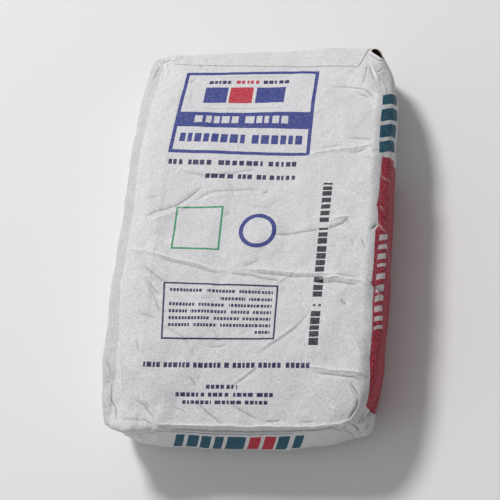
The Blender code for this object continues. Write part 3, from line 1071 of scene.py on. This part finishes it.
class Look:
    """A material and short calls for its nodes."""

    def __init__(self, name):
        self.material = bpy.data.materials.new(name)
        self.material.use_nodes = True
        self.tree = self.material.node_tree
        self.shader = self.tree.nodes["Principled BSDF"]

    def put(self, socket, value):
        if isinstance(value, Value):
            self.tree.links.new(value.socket, socket)
        else:
            socket.default_value = value

    def add(self, kind, inputs=(), output=0, **settings):
        """One output of a new node."""
        node = self.tree.nodes.new(kind)
        for key, value in settings.items():
            setattr(node, key, value)
        for key, value in dict(inputs).items():
            self.put(node.inputs[key], value)
        return Value(self, node.outputs[output])

    def math(self, operation, *values):
        return self.add("ShaderNodeMath", enumerate(values), operation=operation)

    def move(self, operation, *values):
        return self.add("ShaderNodeVectorMath", enumerate(values), operation=operation)

    def scale(self, vector, share):
        return self.add("ShaderNodeVectorMath", {0: vector, "Scale": share}, operation="SCALE")

    def part(self, vector, index):
        return self.add("ShaderNodeSeparateXYZ", {0: vector}, index)

    def mix(self, share, first, second):
        inputs = {"Factor": share, "A": first, "B": second}
        return self.add("ShaderNodeMix", inputs, "Result", data_type="RGBA")

    def noise(self, vector, size, detail, roughness):
        inputs = {"Vector": vector, "Scale": 1 / size, "Detail": detail, "Roughness": roughness}
        return self.add("ShaderNodeTexNoise", inputs, "Fac")

    def ramp(self, value, stops, interpolation="LINEAR"):
        """Value through straight stretches or steps between (place, level) stops."""
        found = self.add("ShaderNodeValToRGB", {"Fac": value}, "Color")
        ramp = found.socket.node.color_ramp
        ramp.interpolation = interpolation
        ramp.elements.remove(ramp.elements[-1])
        ramp.elements[0].position = stops[0][0]
        ramp.elements[0].color = (stops[0][1],) * 3 + (1,)
        for place, level in stops[1:]:
            ramp.elements.new(place).color = (level,) * 3 + (1,)
        return found

    def finish(self, roughness):
        """The fibres, mottling, rimples and folds that all the paper shares."""
        self.place = self.add("ShaderNodeTexCoord", output="Object")
        # Strengths of the painted highlight along ridges and the painted shade along valleys, kept on the
        # skin's points
        self.ridge_highlight_and_wear = self.add("ShaderNodeAttribute", output="Fac", attribute_name="ridge_highlight_and_wear")
        self.valley_shade = self.add("ShaderNodeAttribute", output="Fac", attribute_name="valley_shade")
        self.fibre = self.noise(self.place, 0.0012, 4.0, 0.65)
        self.mottle = self.noise(self.place, 0.0075, 3.0, 0.6)
        rimples = self.noise(self.place, 0.0034, 2.0, 0.6)
        height = self.fibre * 0.30 + self.mottle + rimples * 0.9
        bump = self.add("ShaderNodeBump", {"Height": height, "Distance": 0.0009, "Strength": 0.6}, "Normal")
        self.put(self.shader.inputs["Normal"], bump)
        self.put(self.shader.inputs["Roughness"], roughness + (self.fibre - 0.5) * 0.2)
        self.put(self.shader.inputs["Specular IOR Level"], 0.35)

    def colour_in(self, colour):
        """Puts a colour on, with uneven bleaching and faint grime at random, painted shade in the folds'
        valleys and a painted highlight on their ridges. Returns the material.
        """
        cloud = self.noise(self.place, 0.05, 3.0, 0.6)
        grain = self.noise(self.place, 0.0026, 2.0, 0.6)
        tone_and_painted_light = 0.955 + (self.mottle - 0.5) * 0.16 + (cloud - 0.5) * 0.06 + (grain - 0.5) * 0.60
        # Painted shade in the valleys and a painted highlight on the ridges
        tone_and_painted_light = tone_and_painted_light - self.valley_shade * 0.42 + self.ridge_highlight_and_wear * 0.22
        self.put(self.shader.inputs["Base Color"], self.scale(colour, tone_and_painted_light))
        return self.material


def blocks(start, end, count, gap=0.28):
    """Plain blocks of uneven width that fill a stretch, in millimetres."""
    widths = np.array([BAR_WIDTHS[(k * 3 + count) % len(BAR_WIDTHS)] for k in range(count)])
    free = gap * (end - start) / count
    widths *= (end - start - free * (count - 1)) / widths.sum()
    starts = start + np.concatenate([[0], np.cumsum(widths[:-1] + free)])
    return tuple((float(a), float(a + w)) for a, w in zip(starts, widths))


def groups(*stretches):
    """The blocks of several groups, from the start and end of each and how many blocks it has."""
    return [block for stretch in stretches for block in blocks(*stretch)]


class Print(Look):
    """Paper with flat print, drawn on the paper map in metres."""

    def start(self, base):
        """Bare paper, and the place on it, made a little ragged as ink on paper is."""
        self.sheet = self.add("ShaderNodeUVMap", output="UV", uv_map="paper")
        inputs = {"Vector": self.sheet, "Scale": 900.0, "Detail": 1.0}
        ragged = self.add("ShaderNodeTexNoise", inputs, "Color")
        ragged = self.scale(self.move("SUBTRACT", ragged, (0.5, 0.5, 0.5)), 0.0007)
        place = self.move("ADD", self.sheet, ragged)
        self.x, self.y = self.part(place, 0), self.part(place, 1)
        self.colour = base

    def within(self, value, low, high):
        """1 between low and high, 0 outside, with a soft edge."""
        return ((high - low) / 2 - self.math("ABSOLUTE", value - (low + high) / 2)).soft()

    def box(self, left_x, right_x, low_y, high_y):
        return self.within(self.x, left_x, right_x) * self.within(self.y, low_y, high_y)

    def frame(self, left_x, right_x, low_y, high_y, line):
        inner = self.box(left_x + line, right_x - line, low_y + line, high_y - line)
        return (self.box(left_x, right_x, low_y, high_y) - inner).held()

    def bars(self, across, middle, width, along, spans):
        """Bars in a line: its middle, its width, and where each bar starts and ends, in millimetres."""
        share = along / (2 * ROW_REACH) + 0.5
        found = []
        for first in range(0, len(spans), RAMP_BARS):
            stops = [(0, 0)]
            for span in sorted(spans)[first:first + RAMP_BARS]:
                stops += [(place * MM / (2 * ROW_REACH) + 0.5, level) for place, level in zip(span, (1, 0))]
            found.append(self.ramp(share, stops, "CONSTANT"))
        return self.within(across, (middle - width / 2) * MM, (middle + width / 2) * MM) * self.any(*found)

    def row(self, middle, height, *spans):
        return self.bars(self.y, middle, height, self.x, spans)

    def line(self, middle, height, *stretches):
        """A row of groups of plain blocks."""
        return self.row(middle, height, *groups(*stretches))

    def column(self, middle, width, *spans):
        return self.bars(self.x, middle, width, self.y, spans)

    def broken(self, mask, pitch, gap):
        """Breaks a mask up into plain blocks of uneven width."""
        inputs = {"W": self.x * (0.35 / pitch), "Scale": 1.0, "Detail": 0.0}
        uneven = self.add("ShaderNodeTexNoise", inputs, "Fac", noise_dimensions="1D")
        return mask * (self.math("FRACT", self.x / pitch + uneven * 0.8) > gap)

    def any(self, *masks):
        total = masks[0]
        for mask in masks[1:]:
            total = total | mask
        return total

    def lay(self, mask, colour, strength=1.0):
        """Lays ink over what is printed so far."""
        self.colour = self.mix(mask * self.worn * strength, self.colour, colour)


def white_paper():
    """Bleached sack paper with the front's and the right side's print."""
    made = Print("white_paper_look")
    made.finish(0.62)
    made.start(WHITE_PAPER)
    scuffs = made.noise(made.place, 0.0021, 3.0, 0.7)
    made.worn = ((1.04 + (scuffs - 0.5) * 1.5).held() - made.ridge_highlight_and_wear * 0.5).held()
    made.colour = made.mix(made.within(made.x, *SEAM) * 0.6, made.colour, SEAM_PAPER)
    # Left of the seam the paper is darker: partly its own tone, partly painted shade of the front rolling
    # away to the left
    left_tone_and_shade = made.within(made.x, -0.4, SEAM[0] + 0.0015)
    made.colour = made.mix(left_tone_and_shade * 0.75, made.colour, LEFT_TONE_AND_SHADE)
    front_print(made)
    side_print(made)
    return made.colour_in(made.colour)


def front_print(made):
    """The frames, bars and rows of blocks on the front, all plain."""
    # Blue frame with its filled band
    band = made.box(-0.1195, 0.0715, 0.1370, 0.1645)
    made.lay(made.frame(-0.1195, 0.0715, 0.0935, 0.2400, 0.0050) | band, PRINT_BLUE)
    made.lay(made.line(151.5, 12.5, (-93, -32, 5), (-22, 37, 5)), WHITE_PAPER, 0.95)
    # Thin rules and three plain bars
    made.lay(made.row(229.5, 1.0, (-84, 28)) | made.row(172, 1.0, (-85, 28)), PRINT_GREY, 0.8)
    made.lay(made.line(220, 6.5, (-84, -52, 5), (-6, 30, 5)), PRINT_NAVY)
    made.lay(made.line(220, 6.5, (-44, -12, 5)), PRINT_RED)
    made.lay(made.row(196, 29, (-86, -54), (-14, 28)), PRINT_BLUE)
    made.lay(made.row(196, 29, (-50, -18)), PRINT_RED)
    made.lay(made.line(119, 14.5, (-108, -19, 8), (-10, 59, 6)), PRINT_BLUE)
    # Two rows of blocks under the frame
    made.lay(made.line(80, 8, (-118, -99, 3), (-91, -60, 4), (-50, 9, 7), (16, 54, 5))
             | made.line(59, 7.5, (-66, -29, 4), (-23, -4, 3), (3, 15, 2), (20, 54, 5)), PRINT_NAVY)
    # Green square and blue ring
    made.lay(made.frame(-0.1000, -0.0360, -0.0510, 0.0150, 0.0025), PRINT_GREEN)
    radius = made.math("SQRT", (made.x - 0.012) ** 2.0 + (made.y + 0.022) ** 2.0)
    made.lay(made.within(radius, 0.0190, 0.0250), PRINT_BLUE)
    # Navy box with small rows
    rows = [made.row(y, 4.5, *spans) for y, spans in (
        (-109, ((-95, -52), (-46, -10), (-6, 38))), (-119, ((-29, 4), (9, 39))),
        (-128, ((-95, -60), (-55, -22), (-17, 38))), (-137, ((-95, -70), (-66, -20), (-14, 10), (15, 38))),
        (-146, ((-95, -40), (-35, -3), (3, 38))), (-155, ((-95, -66), (-61, -30), (-25, 38))),
        (-164, ((20, 38),)))]
    made.lay(made.frame(-0.1020, 0.0460, -0.1740, -0.0985, 0.0024), PRINT_NAVY)
    made.lay(made.broken(made.any(*rows), 0.0042, 0.26), PRINT_NAVY)
    # Rows of blocks at the near end
    made.lay(made.any(
        made.line(-207, 7, (-122, -100, 4), (-96, -61, 6), (-57, -21, 6), (-16, -10, 1), (-6, 22, 5),
                  (27, 56, 5), (61, 92, 5)),
        made.line(-234, 5.5, (-38, 3, 7)),
        made.line(-244, 5.5, (-78, -40, 6), (-35, -8, 4), (-3, 22, 4), (27, 47, 4)),
        made.line(-253.5, 5, (-68, -30, 7), (-25, 8, 5), (13, 41, 5))), PRINT_NAVY)
    # Column of bars up the right
    straight = made.x
    made.x = straight - made.y * 0.02
    column = groups((-12, 50, 7), (-80, -19, 7), (-115, -86, 3), (-182, -135, 5))
    made.lay(made.column(98.5, 12.5, *column), PRINT_BLACK)
    made.lay(made.any(*[made.box(x * MM, (x + 3.6) * MM, -0.1278, -0.1242) for x in (94, 101)]), PRINT_BLACK)
    made.x = straight


# The crimson band: how far it shows on the front, in hundredths of a metre, by its share of the way
# from y -0.20 to 0.10. The front's print ends at the printed edge, and the side lies past SIDE_FROM on
# the paper map. The teal bars beyond the band are given in millimetres.
BAND_ON_FRONT = tuple(((y + 0.20) / 0.30, x) for y, x in (
    (-0.200, 0.02), (-0.190, 0.05), (-0.104, 0.12), (-0.100, 0.48), (-0.093, 0.38), (-0.060, 0.32),
    (-0.024, 0.42), (-0.018, 0.10), (0.008, 0.18), (0.013, 0.40), (0.022, 0.18), (0.087, 0.10)))
PRINTED_EDGE = 0.168
SIDE_FROM = 0.9
TEAL_BARS = ((93, 112), (118, 139), (145, 165), (172, 190))


def side_print(made):
    """The crimson band down the right side, and the bars on it and beyond it."""
    x, y = made.x, made.y
    drop = x - 1.0
    on_side = x > SIDE_FROM
    # Above the edge the band just shows on the front; near its lower end it keeps off the edge
    shown = made.ramp((y + 0.20) / 0.30, BAND_ON_FRONT) * 0.01
    on_front = (x + shown - PRINTED_EDGE).soft() * (x < SIDE_FROM) * made.within(y, -0.19, 0.0870)
    top_end = 0.0868 + drop * 0.19
    low_end = -0.2515 - drop * 0.03 + (drop - 0.035 | 0.0) * 0.45
    off_edge = (-0.196 - y | 0.0) * 0.22
    band = (top_end - y).soft() * (y - low_end).soft() * (drop - off_edge).soft()
    patchy = ((made.noise(made.sheet, 0.0035, 3.0, 0.75) - 0.36) * 3.4).held()
    made.lay(band * on_side | on_front, made.mix(patchy, CRIMSON_DARK, CRIMSON_LIGHT))
    made.x = x - (PRINTED_EDGE + on_side * (1 - PRINTED_EDGE))
    made.y = y - made.x * 0.45
    pale = [*blocks(-78, -32, 4, 0.5), (-94, -86), *blocks(-150, -103, 4, 0.5), (-162, -157)]
    made.lay(made.column(10.5, 16, *pale), PRINT_PALE, 0.95)
    teal = [made.box(-0.0055, 0.042, low * MM, high * MM) for low, high in TEAL_BARS]
    made.lay(made.any(*teal), PRINT_TEAL)


def patch_paper():
    """The covers' paper, with the near end's plain bars."""
    made = Print("patch_paper_look")
    made.finish(0.66)
    made.start(PATCH_PAPER)
    made.worn = (1.0 + (made.fibre - 0.5) * 0.6).held()
    made.lay(made.row(-1009.5, 1.2, (-80, 73)), PRINT_BLUE, 0.9)
    made.x = made.x + (made.y + 1.030) * -0.35
    teal = (-80, -69), (-65, -51), (-47, -35), (-31, -19), (-15, 8), (50, 64), (69, 80)
    made.lay(made.row(-1030, 33, *teal), PRINT_TEAL)
    made.lay(made.row(-1030, 33, (13, 28), (32, 46)), PRINT_RED)
    return made.colour_in(made.colour)


# The mouth's paper takes painted shade below this height, over this depth
KRAFT_LIT = 0.0752
KRAFT_FADE = 0.005


def kraft_paper():
    """Raw paper, streaked upwards, with painted shade darkening it in the depth of the mouth."""
    made = Look("kraft_paper_look")
    made.finish(0.75)
    drawn_out = made.add("ShaderNodeMapping", {"Vector": made.place, "Scale": (1, 1, 0.12)})
    colour = made.mix(made.noise(drawn_out, 0.0011, 3.0, 0.6), KRAFT_DARK, KRAFT_LIGHT)
    # Painted shade: below a height the paper turns dark, as the inside of the mouth looks in shadow
    depth = ((KRAFT_LIT - made.part(made.place, 2)) / KRAFT_FADE).held()
    return made.colour_in(made.mix(depth, colour, KRAFT_PAINTED_SHADE))


def cement():
    """Off-white powder."""
    made = Look("cement_look")
    made.finish(0.9)
    return made.colour_in(made.mix(made.mottle, CEMENT_DARK, CEMENT_LIGHT))


# Stage

CAMERA_AZIMUTH = math.radians(25.164)
CAMERA_HEIGHT = math.radians(59.757)
CAMERA_ROLL = math.radians(-22.784)
CAMERA_DISTANCE = 1.9573
CAMERA_TARGET = Vector((-0.00864, -0.02207, 0.05277))
CAMERA_LENS = 106.78
SENSOR = 36.0
FLOOR_HALF = 6
FLOOR_Z = -0.0008
SKY_COLOUR = (0.97, 0.98, 1.0, 1)
SKY_BRIGHT = (-0.55, -0.25, 0.80)
SKY_LEVELS = (0.0, 0.43)


def add_camera():
    """The camera at the photograph's viewing angle."""
    back = Vector((math.sin(CAMERA_AZIMUTH) * math.cos(CAMERA_HEIGHT),
                   -math.cos(CAMERA_AZIMUTH) * math.cos(CAMERA_HEIGHT), math.sin(CAMERA_HEIGHT)))
    level = Vector((math.cos(CAMERA_AZIMUTH), math.sin(CAMERA_AZIMUTH), 0))
    upright = back.cross(level)
    across = math.cos(CAMERA_ROLL) * level + math.sin(CAMERA_ROLL) * upright
    upward = math.cos(CAMERA_ROLL) * upright - math.sin(CAMERA_ROLL) * level
    data = bpy.data.cameras.new("camera")
    data.lens = CAMERA_LENS
    data.sensor_width = SENSOR
    data.clip_end = 50
    camera = bpy.data.objects.new("camera", data)
    turn = Matrix((across, upward, back)).transposed().to_4x4()
    camera.matrix_world = Matrix.Translation(CAMERA_TARGET + back * CAMERA_DISTANCE) @ turn
    bpy.context.scene.collection.objects.link(camera)
    bpy.context.scene.camera = camera


def add_area(name, direction, distance, size, power, colour):
    """A round area light that faces the bag."""
    data = bpy.data.lights.new(name, "AREA")
    data.shape = "DISK"
    data.size = size
    data.energy = power
    data.color = colour
    light = bpy.data.objects.new(name, data)
    way = Vector(direction).normalized()
    light.matrix_world = Matrix.Translation(way * distance) @ way.to_track_quat("Z", "Y").to_matrix().to_4x4()
    bpy.context.scene.collection.objects.link(light)


def add_stage():
    """Pale floor, a soft key light from beyond the bag's left, and a sky that is brighter on one side."""
    look = Look("floor_look")
    look.put(look.shader.inputs["Base Color"], FLOOR)
    look.put(look.shader.inputs["Roughness"], 0.8)
    corners = np.array([(-1, -1, 0), (1, -1, 0), (1, 1, 0), (-1, 1, 0)])
    floor = add_mesh("floor", corners * FLOOR_HALF + (0, 0, FLOOR_Z), [(0, 1, 2, 3)])
    floor.data.materials.append(look.material)
    add_area("key", (-0.44, 0.51, 0.74), 6.0, 1.3, 262, (1.0, 0.99, 0.97))
    add_area("fill", (-0.80, -0.75, 0.55), 1.6, 0.8, 1.2, (1.0, 1.0, 1.0))
    world = bpy.data.worlds.new("sky")
    bpy.context.scene.world = world
    world.use_nodes = True
    tree = world.node_tree
    sky = tree.nodes["Background"]
    sky.inputs["Color"].default_value = SKY_COLOUR
    way = tree.nodes.new("ShaderNodeTexCoord")
    dot = tree.nodes.new("ShaderNodeVectorMath")
    dot.operation = "DOT_PRODUCT"
    dot.inputs[1].default_value = Vector(SKY_BRIGHT).normalized()
    level = tree.nodes.new("ShaderNodeMapRange")
    level.inputs["From Min"].default_value = -1
    level.inputs["To Min"].default_value, level.inputs["To Max"].default_value = SKY_LEVELS
    tree.links.new(way.outputs["Generated"], dot.inputs[0])
    tree.links.new(dot.outputs["Value"], level.inputs["Value"])
    tree.links.new(level.outputs["Result"], sky.inputs["Strength"])
    bpy.context.scene.view_settings.view_transform = "Standard"


def dress(piece, look, node):
    """Gives a piece its material, and says what it stands for."""
    piece.data.materials.clear()
    piece.data.materials.append(look)
    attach(piece, "root")
    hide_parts(node)


def main():
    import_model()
    add_camera()
    add_stage()
    white, patch, kraft = white_paper(), patch_paper(), kraft_paper()
    skin = build_skin()
    tree = BVHTree.FromObject(skin, bpy.context.evaluated_depsgraph_get())
    near_cover = build_cover("plain_end_cover", -1, near_cover_rows(), tree)
    far_cover = build_cover("valve_end_cover", 1, far_cover_rows(), tree)
    cut_valve(skin)
    mouth = build_valve(tree)
    add_lip(skin, tree)
    dress(skin, white, "paper_sack")
    dress(near_cover, patch, "plain_end_patch")
    dress(far_cover, patch, "valve_end_patch")
    dress(mouth, kraft, "valve_sleeve")
    dress(build_cement(), cement(), "cement_fill")


main()
